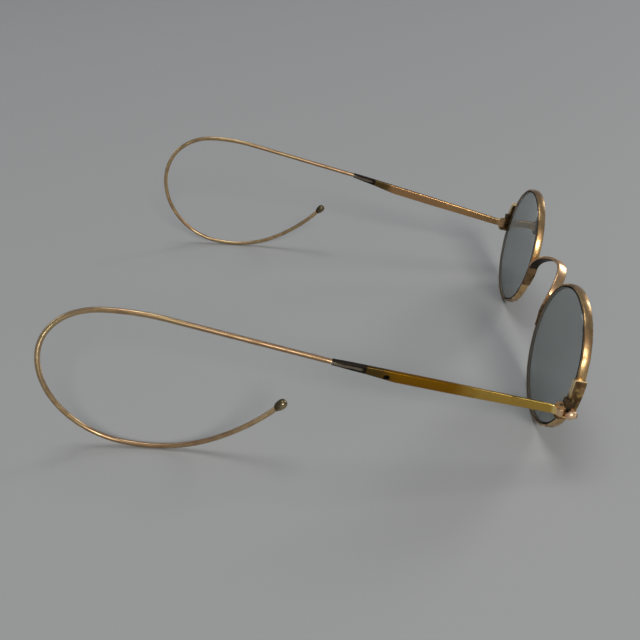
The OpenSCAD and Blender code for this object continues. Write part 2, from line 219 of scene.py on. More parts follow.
def lens_outline():
    """Half the lens's section, from the middle of its domed front round to that of its back."""
    half = math.degrees(math.asin(glass_flat / lens_curve))
    back_curve = lens_curve - 2 * glass_half
    back_half = math.degrees(math.asin(glass_flat / back_curve))
    front = arc((0, glass_half - lens_curve * math.cos(math.radians(half))), lens_curve,
                90, 90 - half, curve_steps)
    back = arc((0, -glass_half - back_curve * math.cos(math.radians(back_half))), back_curve,
               90 - back_half, 90, curve_steps)
    front[0], back[-1] = (0, front[0][1]), (0, back[-1][1])
    return front + [(lens_radius, 0)] + back


def lens_place(place):
    """Distance up and out from the middle of the near lens, and forward or back from it."""
    across, up = place.along(FRONT, 0) - lens_middle, place.along(FRONT, 2)
    return up, (across * across + up * up) ** 0.5, abs(place.along(FRONT, 1))


glass, place = new_material("smoked_glass")
smears = place.noise(60).step(0.45, 0.75)
dust = place.noise(5200, 2).step(0.70, 0.78)
up, out, depth = lens_place(place)
# The ground bevel is painted: metallic brass in the groove is painted light for the gold seen
# through the glass, and black outside the lips is painted shade
ground = out.step(glass_flat + 0.01 * MM, glass_flat + 0.06 * MM)
open_edge = depth.step(glass_half - 0.40 * MM, glass_half - 0.34 * MM)
finish_material(place, {
    "Base Color": ground.tint((smears * 0.3).tint(smoke, smeared_smoke),
                              open_edge.tint(groove_painted_light, gap_painted_shade)),
    "Metallic": ground,
    "Roughness": smears * 0.05 + dust * 0.2 + ground * 0.3 + 0.02,
    "IOR": 1.52, "Transmission Weight": 1.0})

for side in SIDES:
    bm = spin_outline(lens_outline())
    set_on_side(bm, side, LENS)
    make_piece(side + "_lens_glass", bm, glass, "front", [side + "_lens"], 20)

# Rims: each is one length of grooved gold-filled strip, bent round its lens and cut through at
# the joint, where the two endpieces draw the cut together.

rim_radius, rim_width = 19.65 * MM, 2.2 * MM
rim_round, rim_crown = 0.25 * MM, 0.08 * MM
lip_round, groove_play = 0.12 * MM, 0.04 * MM
rim_split = 0.25 * MM
joint_drop = 1.58 * MM  # from the lens's middle down to the cut
# Painted shade colours: brown for the band above and below, black for the corner of each lip
reflected_shade_brown, lip_painted_shade = (0.31, 0.19, 0.095, 1), (0.035, 0.028, 0.02, 1)
bare_brass = (0.50, 0.33, 0.16, 1)


def rim_outline():
    """The strip's section: a crowned back with round corners, and a groove for the bevel."""
    half, flat = rim_width / 2, rim_width / 2 - rim_round
    corner = rim_radius - rim_crown - rim_round
    crown = [(rim_radius - rim_crown * (k / 4) ** 2, -flat * k / 4) for k in range(-3, 4)]
    outer = arc((corner, flat), rim_round, 90, 0, 6) + crown \
        + arc((corner, -flat), rim_round, 0, -90, 6)
    inner = arc((lens_lip + lip_round, lip_round - half), lip_round, 270, 180, 4) \
        + [(lens_lip, -lens_edge - groove_play), (lens_radius + groove_play, 0),
           (lens_lip, lens_edge + groove_play)] \
        + arc((lens_lip + lip_round, half - lip_round), lip_round, 180, 90, 4)
    return outer + inner


def metal(name, bright, dull, roughness, patches=(0.45, 0.7), grain=0.5, marks=None):
    """Worn metal: bright where it is rubbed, dull in cloudy patches, with fine pits and soft
    dents. Marks are [mask, colour, added roughness] and lie over that in their order."""
    material, place = new_material(name)
    clouds = place.noise(330, 4)
    specks = place.noise(3100)
    worn = (clouds * 0.75 + specks * 0.25).step(*patches)
    colour = worn.tint(bright, dull)
    rough = worn * 0.16 + specks * 0.10 + roughness
    for mask, shade, added in marks(place, clouds, specks) if marks else []:
        colour = mask.tint(colour, shade)
        rough = rough + mask * added
    height = specks * 0.6 + clouds * 0.4
    finish_material(place, {"Base Color": colour, "Metallic": 1.0, "Roughness": rough,
                            "Normal": height.bump(grain * 0.02 * MM)})
    return material


def rim_marks(place, clouds, specks):
    """The plate is browner above and below, painted shade of the dim room the band reflects.
    The corner of each lip is black, painted shade by the lens, and the groove is bare brass."""
    up, out, depth = lens_place(place)
    # painted shade: black on the corner of each lip by the lens
    lip = out.step(lens_lip + 0.26 * MM, lens_lip + 0.18 * MM) \
        * depth.step(rim_width / 2 - 0.13 * MM, rim_width / 2 - 0.09 * MM)
    groove = out.step(lens_lip + 0.02 * MM, lens_lip + 0.06 * MM) \
        * out.step(lens_radius + 0.2 * MM, lens_radius + 0.1 * MM) \
        * depth.step(lens_edge + 0.08 * MM, lens_edge)
    # painted shade: browner above and below, where the band reflects the dim room
    ends = abs(up).step(8 * MM, 15 * MM) * clouds.step(0.30, 0.60)
    return [(ends * 0.85, reflected_shade_brown, 0.05), (lip, lip_painted_shade, 0.2), (groove, bare_brass, 0.2)]


rim_gold = metal("rim_gold", (0.70, 0.46, 0.21, 1), (0.34, 0.20, 0.09, 1), 0.2,
                 patches=(0.47, 0.60), marks=rim_marks)

joint_angle = math.asin(joint_drop / math.cos(front_lean) / rim_radius)
split_angle = rim_split / rim_radius
for side in SIDES:
    bm = spin_outline(rim_outline(), 2 * math.pi - split_angle, 240)
    bmesh.ops.rotate(bm, verts=bm.verts, cent=(0, 0, 0),
                     matrix=Matrix.Rotation(split_angle / 2 - joint_angle, 3, "Z"))
    set_on_side(bm, side, LENS)
    make_piece(side + "_rim", bm, rim_gold, "front", [side + "_eyewire"])

# Bridge: one flat strip bent up, forward and over the nose, its two feet soldered to the inner
# sides of the rims. The faces of its under side that point at the nose are nearly black.

bridge_width, bridge_thick = 2.8 * MM, 0.9 * MM
bridge_rise, bridge_reach = 11.2 * MM, 3.8 * MM
bridge_lean = math.radians(16)  # of the crest, to lie along the nose
foot_down, foot_up = math.radians(11), math.radians(8)
foot_steps, rise_steps, corner_steps = 8, 40, 4
solder_brown, solder_black = (0.22, 0.13, 0.06, 1), (0.05, 0.035, 0.02, 1)
foot_thin, foot_narrow = (0.45, 0.14), (0.72, 0.05)  # share left at the end, and gain a stop
edge_round = 0.3  # share of the thickness
under_side = 0.35  # a face that points so much at the nose is nearly black
bead = 0.2 * MM
bead_shift = bead * 0.3  # off the rim's corner


def rounded_box(width, height, corner):
    """Outline of a strip with rounded corners, counter-clockwise."""
    across, up = width / 2 - corner, height / 2 - corner
    return [point for start, x, y in ((0, across, up), (90, -across, up), (180, -across, -up),
                                      (270, across, -up))
            for point in arc((x, y), corner, start, start + 90, corner_steps)]


def sweep(stops):
    """A closed solid through [outline, frame] stops: each outline lies in its frame's xy plane."""
    bm = bmesh.new()
    ring = None
    for outline, stop in stops:
        points = [stop @ Vector((u, v, 0)) for u, v in outline]
        if ring is None:
            ring = [bm.verts.new(p) for p in points]
            bm.faces.new(ring)
            continue
        edges = [bm.edges.get(pair) for pair in zip(ring, ring[1:] + ring[:1])]
        made = bmesh.ops.extrude_edge_only(bm, edges=edges)["geom"]
        back = {next(e.other_vert(v) for e in v.link_edges if e.other_vert(v) in ring): v
                for v in made if isinstance(v, bmesh.types.BMVert)}
        ring = [back[v] for v in ring]
        for v, p in zip(ring, points):
            v.co = p
    bm.faces.new(ring)
    bmesh.ops.recalc_face_normals(bm, faces=bm.faces)
    return bm


def frame_at(point, across, up):
    """A sweep's frame: its x axis across the strip and its y axis up out of the strip."""
    along = across.cross(up)
    return Matrix.Translation(point) @ Matrix((across, up, along)).transposed().to_4x4()


def bridge_points():
    """The strip's middle line from the left foot over the crest to the right foot."""
    reach = rim_radius + bridge_thick / 2

    def foot(a):
        return Vector((lens_middle - reach * math.cos(a), 0, reach * math.sin(a)))
    low = [foot(-foot_down + (foot_down + foot_up) * i / foot_steps) for i in range(foot_steps)]
    a, d = foot(foot_up), Vector((0, -bridge_reach, bridge_rise))
    b = a + 0.5 * (bridge_rise - a.z) * Vector((math.sin(foot_up), 0, math.cos(foot_up)))
    c = d + Vector((0.5 * a.x, 0, 0))
    curve = [(1 - t) ** 3 * a + 3 * t * (1 - t) ** 2 * b + 3 * t * t * (1 - t) * c + t ** 3 * d
             for t in [i / rise_steps for i in range(rise_steps + 1)]]
    half = low + curve
    return half + [Vector((-p.x, p.y, p.z)) for p in reversed(half[:-1])]


def bridge_marks(place, clouds, specks):
    """Solder has left the feet grey-brown, with nearly black streaks in it."""
    foot = FRONT @ Vector((lens_middle - rim_radius, 0, -1.5 * MM))
    solder = (place.away(foot) + (clouds - 0.5) * (4 * MM)).step(5.6 * MM, 4.0 * MM)
    streaks = place.noise(900, 2).step(0.5, 0.6)
    return [(solder * 0.85, solder_brown, 0.2), (solder * streaks * 0.7, solder_black, 0.1)]


# The strip is hammered thin and narrow over the first stops of each foot, against its rim
bridge_line = bridge_points()
last = len(bridge_line) - 1
stops = []
for i, p in enumerate(bridge_line):
    along = (bridge_line[min(i + 1, last)] - bridge_line[max(i - 1, 0)]).normalized()
    climb = max(0, 1 - abs(i / last * 2 - 1) * 1.2)
    level = Vector((0, math.cos(bridge_lean * climb), math.sin(bridge_lean * climb)))
    across = (level - level.dot(along) * along).normalized()
    end = min(i, last - i)
    thick = bridge_thick * min(1, foot_thin[0] + foot_thin[1] * end)
    width = bridge_width * min(1, foot_narrow[0] + foot_narrow[1] * end)
    shift = Vector((math.copysign((bridge_thick - thick) / 2, p.x), 0, 0))
    stops.append((rounded_box(width, thick, thick * edge_round),
                  frame_at(p + shift, across, along.cross(across))))
bm = sweep(stops)
nose = Vector((0, 0, -4 * MM))
root = rim_radius * math.sin(foot_up)
for face in bm.faces:
    middle = face.calc_center_median()
    inward = (nose - middle).normalized()
    face.material_index = int(face.normal.dot(inward) > under_side and middle.z > root)
bmesh.ops.transform(bm, matrix=FRONT, verts=bm.verts)
bridge_gold = metal("bridge_gold", (0.82, 0.52, 0.28, 1), (0.52, 0.29, 0.14, 1), 0.2,
                    marks=bridge_marks)
bridge_dark = metal("bridge_dark", (0.05, 0.04, 0.03, 1), (0.16, 0.10, 0.06, 1), 0.4,
                    patches=(0.6, 0.85))
bridge = make_piece("saddle_bridge", bm, bridge_gold, "front", ["bridge"])
bridge.data.materials.append(bridge_dark)


def add_part(bm, part):
    """Moves the shape of a second bmesh into the first."""
    mesh = bpy.data.meshes.new("part")
    part.to_mesh(mesh)
    part.free()
    bm.from_mesh(mesh)
    bpy.data.meshes.remove(mesh)


# A thin bead of solder runs down both sides of each foot
for side in SIDES:
    bm = bmesh.new()
    for edge in (1, -1):
        outline = [(rim_radius - bead_shift + bead * u,
                    edge * (rim_width / 2 + bead_shift) + bead * v)
                   for u, v in arc((0, 0), 1, 0, 330, 11)]
        part = spin_outline(outline, foot_down + foot_up, 24)
        bmesh.ops.rotate(part, verts=part.verts, cent=(0, 0, 0),
                         matrix=Matrix.Rotation(math.pi - foot_up, 3, "Z"))
        add_part(bm, part)
    set_on_side(bm, side, LENS)
    make_piece(side + "_foot_solder", bm, bridge_gold, "front", [])

# Endpieces: on each side a strap, a block and a lug above the rim's cut, and a strap, a ball and
# a lug below it, built up from stock and melted into one by solder. They are brown and rubbed.

PIN = Vector((51.5651, -60.2526, 17.9995)) * MM  # the left joint's axis, level with its knuckle
strap_thick, strap_width, strap_back = 1.25 * MM, 3.1 * MM, 0.5 * MM
strap_lap, strap_sunk = 0.25 * MM, 0.02 * MM
strap_up, strap_down = math.radians(20), math.radians(12)
knuckle_radius, knuckle_height, lug_play = 1.3 * MM, 2.1 * MM, 0.05 * MM
upper_lug, lower_lug, lug_forward = 0.6 * MM, 0.8 * MM, 2.3 * MM
lug_top = knuckle_height / 2 + lug_play
block_height, block_forward = 2.3 * MM, 0.6 * MM
ball_radius = 1.25 * MM
BALL = PIN + Vector((1.1, -2.4, -0.4)) * MM
splay = math.radians(4.8)

# Where solder has run: over the block, under the ball and before it, each [middle, half sizes]
BLOCK_SOLDER = PIN + Vector((-0.1, -2.3, 3.2)) * MM, (1.1 * MM, 0.8 * MM, 0.9 * MM)
UNDER_SOLDER = PIN + Vector((0.3, -2.6, -1.0)) * MM, (1.3 * MM, 0.9 * MM, 0.9 * MM)
BALL_SOLDER = BALL + Vector((0.0, -0.7, -0.1)) * MM, (1.0 * MM, 1.1 * MM, 1.0 * MM)

melt_grain = 0.065 * MM
upper_rounds, lower_rounds = 3, 4
# The block's near black is painted shade
gold_left, burnt, block_painted_shade = (0.46, 0.32, 0.10, 1), (0.10, 0.05, 0.02, 1), (0.07, 0.05, 0.03, 1)
# The corner's black under the block is painted shade
ball_copper, corner_painted_shade = (0.86, 0.60, 0.38, 1), (0.03, 0.02, 0.014, 1)
# The pale edge gold is a painted highlight on the strap's end and rear edge
lug_copper, strap_edge_painted_highlight = (0.60, 0.36, 0.17, 1), (0.85, 0.66, 0.38, 1)

# An open temple's own frame, y back along it
OPEN = Matrix.Translation(PIN) @ Matrix.Rotation(-splay, 4, "Z")


def strap(start, end):
    """The length of strap between two angles above the lens's middle line."""
    front, rear = strap_width / 2 - strap_back, -strap_width / 2 - strap_back
    outline = [(rim_radius - strap_sunk, front), (rim_radius + strap_thick, front),
               (rim_radius + strap_thick, rear), (rim_radius - strap_lap, rear),
               (rim_radius - strap_lap, -rim_width / 2), (rim_radius - strap_sunk, -rim_width / 2)]
    bm = spin_outline(outline, end - start, 24)
    bmesh.ops.rotate(bm, verts=bm.verts, cent=(0, 0, 0), matrix=Matrix.Rotation(start, 3, "Z"))
    bmesh.ops.transform(bm, matrix=LENS, verts=bm.verts)
    return bm


def lug(bottom, height):
    """A round plate on the joint's axis, squared off towards the strap."""
    outline = [(-knuckle_radius, -lug_forward), (knuckle_radius, -lug_forward)] \
        + arc((0, 0), knuckle_radius, 0, 180, 24)
    low = Matrix.Translation(PIN + Vector((0, 0, bottom)))
    return sweep([(outline, low), (outline, Matrix.Translation((0, 0, height)) @ low)])


def lump(middle, size):
    """An egg of solder or metal, with its half sizes along x, y and z."""
    bm = bmesh.new()
    bmesh.ops.create_icosphere(bm, subdivisions=4, radius=1.0, matrix=Matrix.LocRotScale(
        middle, None, Vector(size)))
    return bm


def square_block(middle, size):
    """A block of stock, with its full sizes along x, y and z."""
    bm = bmesh.new()
    bmesh.ops.create_cube(bm, size=1.0, matrix=Matrix.LocRotScale(middle, None, Vector(size)))
    return bm


def modify(bm, kind, settings):
    """Changes a bmesh into what one of Blender's modifiers makes of it."""
    mesh = bpy.data.meshes.new("stock")
    bm.to_mesh(mesh)
    stock = bpy.data.objects.new("stock", mesh)
    bpy.context.scene.collection.objects.link(stock)
    modifier = stock.modifiers.new("change", kind)
    for name, value in settings.items():
        setattr(modifier, name, value)
    view = bpy.context.evaluated_depsgraph_get()
    made = bpy.data.meshes.new_from_object(stock.evaluated_get(view))
    bm.clear()
    bm.from_mesh(made)
    bpy.data.objects.remove(stock)
    for old in (mesh, made):
        bpy.data.meshes.remove(old)


def melt(parts, rounds):
    """Fuses closed parts that overlap into one skin, as solder does, and softens its edges."""
    bm = bmesh.new()
    for part in parts:
        add_part(bm, part)
    bmesh.ops.scale(bm, vec=(1 / MM,) * 3, verts=bm.verts)
    modify(bm, "REMESH", {"mode": "VOXEL", "voxel_size": melt_grain / MM})
    for _ in range(rounds):
        bmesh.ops.smooth_vert(bm, verts=bm.verts, factor=0.5, use_axis_x=True, use_axis_y=True,
                              use_axis_z=True)
    bmesh.ops.scale(bm, vec=(MM,) * 3, verts=bm.verts)
    return bm


def endpiece_marks(place, clouds, specks):
    """Gold is left in blotches, the strap's end and rear edge are pale gold as a painted
    highlight, the block and the corner under it are black as painted shade, and the ball and the
    upper lug are rubbed to copper."""
    blotches = place.noise(620).step(0.50, 0.60)
    burns = place.noise(480, 2).step(0.49, 0.40)
    # painted shade: nearly black round the block, reaching over the upper lug's edge
    block = PIN + Vector((0, -1.6, 2.2)) * MM
    dark = (place.away(block) + (clouds - 0.5) * (2.4 * MM)).step(2.6 * MM, 1.4 * MM)
    ball = (place.away(BALL) + (specks - 0.5) * (0.4 * MM)).step(1.75 * MM, 1.35 * MM)
    # painted shade in the corner under the block, between the lug and the knuckle
    corner = PIN + Vector((0.4, -1.2, 1.0)) * MM
    corner_shade = (place.away(corner) + (specks - 0.5) * (0.8 * MM)).step(1.5 * MM, 0.9 * MM)
    over, back = place.part("Z"), place.along(OPEN, 1)
    plate = over.step(PIN.z + 0.9 * MM, PIN.z + 1.1 * MM) * back.step(-1.0 * MM, -0.4 * MM) \
        * over.step(PIN.z + 1.95 * MM, PIN.z + 1.8 * MM)
    across, up = place.along(FRONT, 0) - lens_middle, place.along(FRONT, 2)
    # painted highlight: pale gold on the strap's end and on its rear edge
    end = (up * math.cos(strap_up) - across * math.sin(strap_up)).step(-0.3 * MM, -0.15 * MM)
    rear = place.along(FRONT, 1).step(1.75 * MM, 1.95 * MM) * up.step(2 * MM, 4 * MM)
    return [(blotches * 0.9, gold_left, -0.06), (burns * 0.8, burnt, 0.1),
            (dark * 0.85, block_painted_shade, 0.2), (ball, ball_copper, 0.10), (corner_shade, corner_painted_shade, 0.3),
            (plate * 0.9, lug_copper, 0.0), (end.maths("MAXIMUM", rear) * 0.85, strap_edge_painted_highlight, -0.1)]


endpiece_brass = metal("endpiece_brass", (0.42, 0.26, 0.12, 1), (0.18, 0.11, 0.055, 1), 0.24,
                       patches=(0.40, 0.56), grain=3.0, marks=endpiece_marks)
for side in SIDES:
    upper = melt([strap(split_angle / 2 - joint_angle, strap_up), lug(lug_top, upper_lug),
                  square_block(PIN + Vector((0, -(lug_forward + block_forward) / 2,
                                             lug_top + block_height / 2)),
                               (2 * knuckle_radius, lug_forward - block_forward, block_height)),
                  lump(*BLOCK_SOLDER)], upper_rounds)
    lower = melt([strap(-strap_down, -joint_angle - split_angle / 2),
                  lug(-lug_top - lower_lug, lower_lug), lump(BALL, (ball_radius,) * 3),
                  lump(*UNDER_SOLDER), lump(*BALL_SOLDER)], lower_rounds)
    for half, bm in (("upper", upper), ("lower", lower)):
        set_on_side(bm, side, Matrix())
        make_piece(side + "_" + half + "_endpiece", bm, endpiece_brass, "front",
                   [side + "_endpiece_" + half])

# Joint screws: each runs up through both lugs and the knuckle between them. Its slotted head is
# below, and its upper end is peened over so that it can't work loose.

screw_radius, head_radius, head_height = 0.45 * MM, 0.9 * MM, 0.5 * MM
head_round, slot_width, slot_turn = 0.15 * MM, 0.3 * MM, 0.6
peen = 0.1 * MM


def cut_out(bm, tool):
    """Cuts the shape of a second closed bmesh out of the first."""
    mesh = bpy.data.meshes.new("tool")
    tool.to_mesh(mesh)
    tool.free()
    cutter = bpy.data.objects.new("tool", mesh)
    bpy.context.scene.collection.objects.link(cutter)
    modify(bm, "BOOLEAN", {"object": cutter, "operation": "DIFFERENCE"})
    bpy.data.objects.remove(cutter)
    bpy.data.meshes.remove(mesh)


screw_steel = metal("screw_steel", (0.13, 0.10, 0.07, 1), (0.06, 0.045, 0.03, 1), 0.4, grain=1.0)
low, high = -lug_top - lower_lug, lug_top + upper_lug
outline = [(0, low - head_height)] \
    + arc((head_radius - head_round, low - head_height + head_round), head_round, 270, 360, 5) \
    + [(head_radius, low), (screw_radius, low)] \
    + arc((0, high - peen), screw_radius, 0, 20, 3) \
    + [(screw_radius * 0.8, high + 0.06 * MM), (0, high + peen)]
for side in SIDES:
    bm = spin_outline(outline, steps=64)
    slot = square_block(Vector((0, 0, low - head_height)),
                        (4 * head_radius, slot_width, head_height))
    bmesh.ops.rotate(slot, verts=slot.verts, cent=(0, 0, 0),
                     matrix=Matrix.Rotation(slot_turn, 3, "Z"))
    cut_out(bm, slot)
    set_on_side(bm, side, Matrix.Translation(PIN))
    make_piece(side + "_screw", bm, screw_steel, "front",
               [side + "_joint_screw"], 30)

# Temple bars: flat rolled bars, thin edge up, each with a knuckle that turns between the lugs and
# flares into it. A shallow punched dimple near the back end is painted nearly black.

bar_rise = math.radians(13.5434)
bar_length, bar_thick, bar_round = 50.2 * MM, 1.1 * MM, 0.25 * MM
bar_height, bar_front_height, ferrule_height = 3 * MM, 2.3 * MM, 2.2 * MM
bar_half, front_half = bar_height / 2, bar_front_height / 2
flare_end, taper = 3 * MM, 7.5 * MM
bar_steps, taper_steps = 12, 8
dimple_radius, dimple_depth = 0.7 * MM, 0.3 * MM
dimple_cup = (dimple_radius ** 2 + dimple_depth ** 2) / (2 * dimple_depth)
bore, knuckle_round = 0.5 * MM, 0.14 * MM
# The flare's pale gold is a painted highlight
flare_painted_highlight, knuckle_copper = (0.92, 0.70, 0.30, 1), (0.80, 0.54, 0.33, 1)
# The deep amber is painted shade along the middle and back of the plate
amber_painted_shade, inner_copper = (0.31, 0.135, 0.004, 1), (0.56, 0.32, 0.16, 1)
heat_brown, dimple_black = (0.10, 0.065, 0.02, 1), (0.01, 0.007, 0.005, 1)

# The bar's own frame: y along the bar and z up out of it
BAR = OPEN @ Matrix.Rotation(bar_rise, 4, "X")
DIMPLE = BAR @ Vector((bar_thick / 2, bar_length - taper * 0.7, -bar_height / 8))


def bar_marks(place, clouds, specks):
    """The flare is pale gold as a painted highlight, copper shows on the knuckle and the inner
    side, the plate is painted deep amber from its middle back as painted shade, and the ferrule's
    soldering has browned the back end."""
    across, back = place.along(OPEN, 0), place.along(OPEN, 1)
    axle = (across * across + back * back) ** 0.5
    knuckle = (axle + (specks - 0.5) * (0.3 * MM)).step(1.55 * MM, 1.3 * MM)
    # painted highlight: pale gold on the flare
    flare = axle.step(2.6 * MM, 1.9 * MM)
    inner = (place.along(BAR, 0) + (clouds - 0.5) * (0.4 * MM)).step(0.1 * MM, -0.3 * MM)
    back = place.along(BAR, 1) + (clouds - 0.5) * (5 * MM)
    brown = back.step(bar_length - 8 * MM, bar_length - 3 * MM)
    # painted shade: the plate turns deep amber from its middle back
    amber = back.step(21 * MM, 29 * MM)
    pit = (place.away(DIMPLE) + (specks - 0.5) * (0.5 * MM)).step(0.95 * MM, 0.6 * MM)
    return [(flare * 0.8, flare_painted_highlight, 0.05), (knuckle * 0.9, knuckle_copper, 0.08),
            (amber * 0.95, amber_painted_shade, 0.0), (inner * 0.8, inner_copper, 0.05),
            (brown * 0.9, heat_brown, 0.1), (pit, dimple_black, 0.3)]


def bar_stop(s, low, high, width):
    """A ring of the bar at s along it, from low to high and so wide."""
    middle = Vector((0, s, (low + high) / 2))
    return (rounded_box(width, high - low, bar_round),
            frame_at(middle, Vector((-1, 0, 0)), Vector((0, 0, 1))))


bar_gold = metal("bar_gold", (0.56, 0.35, 0.07, 1), (0.44, 0.27, 0.05, 1), 0.15,
                 patches=(0.5, 0.8), grain=0.2, marks=bar_marks)

# From the knuckle, through the flare, to full height, and down to the ferrule's height, each
# [along, lowest, highest, width]
bar_stops = [bar_stop(0.8 * MM, -1.12 * MM, 0.72 * MM, 1.9 * MM),
             bar_stop(1.2 * MM, -1.14 * MM, 0.74 * MM, 1.62 * MM),
             bar_stop(1.45 * MM, -front_half, 0.95 * MM, 1.45 * MM),
             bar_stop(1.7 * MM, -front_half, front_half, 1.3 * MM),
             bar_stop(2.3 * MM, -front_half, front_half, 1.15 * MM)]
for i in range(bar_steps + 1):
    s = flare_end + (bar_length - taper - flare_end) * i / bar_steps
    h = front_half + (bar_half - front_half) * min(1, s / (bar_length - taper) * 1.4)
    bar_stops.append(bar_stop(s, -h, h, bar_thick))
for i in range(1, taper_steps + 1):
    t = i / taper_steps
    bar_stops.append(bar_stop(bar_length - taper * (1 - t),
                              -bar_half + (bar_height - ferrule_height) * t, bar_half, bar_thick))

tall = knuckle_height / 2
knuckle_outline = arc((knuckle_radius - knuckle_round, tall - knuckle_round), knuckle_round,
                      90, 0, 5) \
    + arc((knuckle_radius - knuckle_round, knuckle_round - tall), knuckle_round, 0, -90, 5) \
    + [(bore, -tall), (bore, tall)]
for side in SIDES:
    bm = sweep(bar_stops)
    bmesh.ops.transform(bm, matrix=BAR, verts=bm.verts)
    punch = bmesh.new()
    bmesh.ops.create_icosphere(punch, subdivisions=4, radius=dimple_cup, matrix=Matrix.Translation(
        DIMPLE + BAR.col[0].to_3d() * (dimple_cup - dimple_depth)))
    cut_out(bm, punch)
    knuckle = spin_outline(knuckle_outline, steps=96)
    bmesh.ops.transform(knuckle, matrix=Matrix.Translation(PIN), verts=knuckle.verts)
    add_part(bm, knuckle)
    set_on_side(bm, side, Matrix())
    make_piece(side + "_bar", bm, bar_gold, side + "_temple",
               [side + "_temple_bar"], 40)

# Ferrules: each is a tapered sleeve, soldered to the bar's flat end, that narrows to hold the
# round cable. The solder has run down its upper and lower edges and gone black.

ferrule_length, ferrule_wall, ferrule_steps = 8.5 * MM, 0.12 * MM, 12
cable_radius = 0.7 * MM
sleeve_width = 2 * (cable_radius + ferrule_wall)
least_flat = 0.002 * MM  # left between two rounded corners
toe_in, cable_rise = math.radians(4), math.radians(14.3)
line_black, seam_black = (0.018, 0.014, 0.012, 1), (0.03, 0.02, 0.015, 1)

# The cable's own frame: x out, y back and z up, from the ferrule's end
CABLE = OPEN @ Matrix.Translation(Vector((0, 56.9085, 14.4076)) * MM) \
    @ Matrix.Rotation(toe_in, 4, "Z")


def cable_frame(back, up, heading):
    """A sweep's frame on the cable, where it heads so many radians above level."""
    return CABLE @ frame_at(Vector((0, back, up)), Vector((-1, 0, 0)),
                            Vector((0, -math.sin(heading), math.cos(heading))))


def ferrule_marks(place, clouds, specks):
    """Black solder in two lines that meet towards the cable, and a black seam at the bar."""
    s = (place.along(BAR, 1) - bar_length) * (1 / ferrule_length)
    height = place.along(BAR, 2) + (clouds - 0.5) * (0.8 * MM)
    off = abs(height - 0.4 * MM - s * (0.28 * MM))
    lines = off.step(0.26 * MM, 0.46 * MM) * (s + (clouds - 0.5) * 0.4).step(-0.02, 0.12)
    seam = (s + (clouds - 0.5) * 0.5).step(0.16, 0.04)
    return [(lines * 0.95, line_black, 0.2), (seam, seam_black, 0.2)]


ferrule_grey = metal("ferrule_grey", (0.24, 0.20, 0.15, 1), (0.15, 0.10, 0.06, 1), 0.34,
                     marks=ferrule_marks)
start = BAR @ bar_stop(bar_length, bar_half - ferrule_height, bar_half, bar_thick)[1]
end = cable_frame(0, 0, cable_rise)
ferrule_stops = []
for i in range(ferrule_steps + 1):
    t = i / ferrule_steps
    ease = t * t * (3 - 2 * t)
    wide = bar_thick + (sleeve_width - bar_thick) * ease
    high = ferrule_height + (sleeve_width - ferrule_height) * t
    corner = bar_round + (min(wide, high) / 2 - least_flat - bar_round) * ease
    ferrule_stops.append((rounded_box(wide, high, corner), start.lerp(end, t)))
for side in SIDES:
    bm = sweep(ferrule_stops)
    set_on_side(bm, side, Matrix())
    make_piece(side + "_ferrule_sleeve", bm, ferrule_grey, side + "_temple",
               [side + "_ferrule"])

# Cables: a steel core with one fine gold-filled wire wound tightly round it, some 470 turns that
# rise from the ferrule, arch over the ear and curl round behind it.

cable_straight = 39.1 * MM
cable_arcs = [(59.2 * MM, 15.1), (19.6 * MM, 70.5), (22.4 * MM, 97.6), (38.3 * MM, 36.3),
              (61.9 * MM, 20)]  # the radius and the degrees of each bend after the straight
wire_width, wire_thick, wire_corner = 0.338 * MM, 0.32 * MM, 0.04 * MM
pitch, turn_steps = 0.345 * MM, 10
straight_copper = (0.38, 0.24, 0.14, 1)
copper_patch, gold_patch = (0.44, 0.27, 0.16, 1), (0.50, 0.39, 0.20, 1)


def cable_place(s):
    """Point [back, up] on the cable's middle line, s along it, and its heading there."""
    heading = cable_rise
    run = min(s, cable_straight)
    back, up, s = run * math.cos(heading), run * math.sin(heading), s - run
    for radius, turn in cable_arcs:
        step = min(s / radius, math.radians(turn))
        if step <= 0:
            break
        back += radius * (math.sin(heading) - math.sin(heading - step))
        up += radius * (math.cos(heading - step) - math.cos(heading))
        heading, s = heading - step, s - radius * step
    return back, up, heading


cable_length = cable_straight + sum(r * math.radians(a) for r, a in cable_arcs)
turns = int(cable_length / pitch)


def cable_marks(place, clouds, specks):
    """The gold is rubbed to copper in long patches, and is browner and duller on the straight."""
    patches = place.noise(75, 2)
    straight = place.along(OPEN, 1).step(108 * MM, 88 * MM) \
        * place.along(OPEN, 2).step(8 * MM, 12 * MM)
    return [(straight * 0.6, straight_copper, 0.12),
            (patches.step(0.48, 0.66) * 0.6, copper_patch, 0.0),
            (patches.step(0.42, 0.28) * 0.6, gold_patch, -0.05)]


cable_gold = metal("cable_gold", (0.60, 0.44, 0.25, 1), (0.42, 0.27, 0.14, 1), 0.24,
                   grain=0.04, marks=cable_marks)
core_steel = metal("core_steel", (0.5, 0.5, 0.5, 1), (0.3, 0.3, 0.3, 1), 0.3)

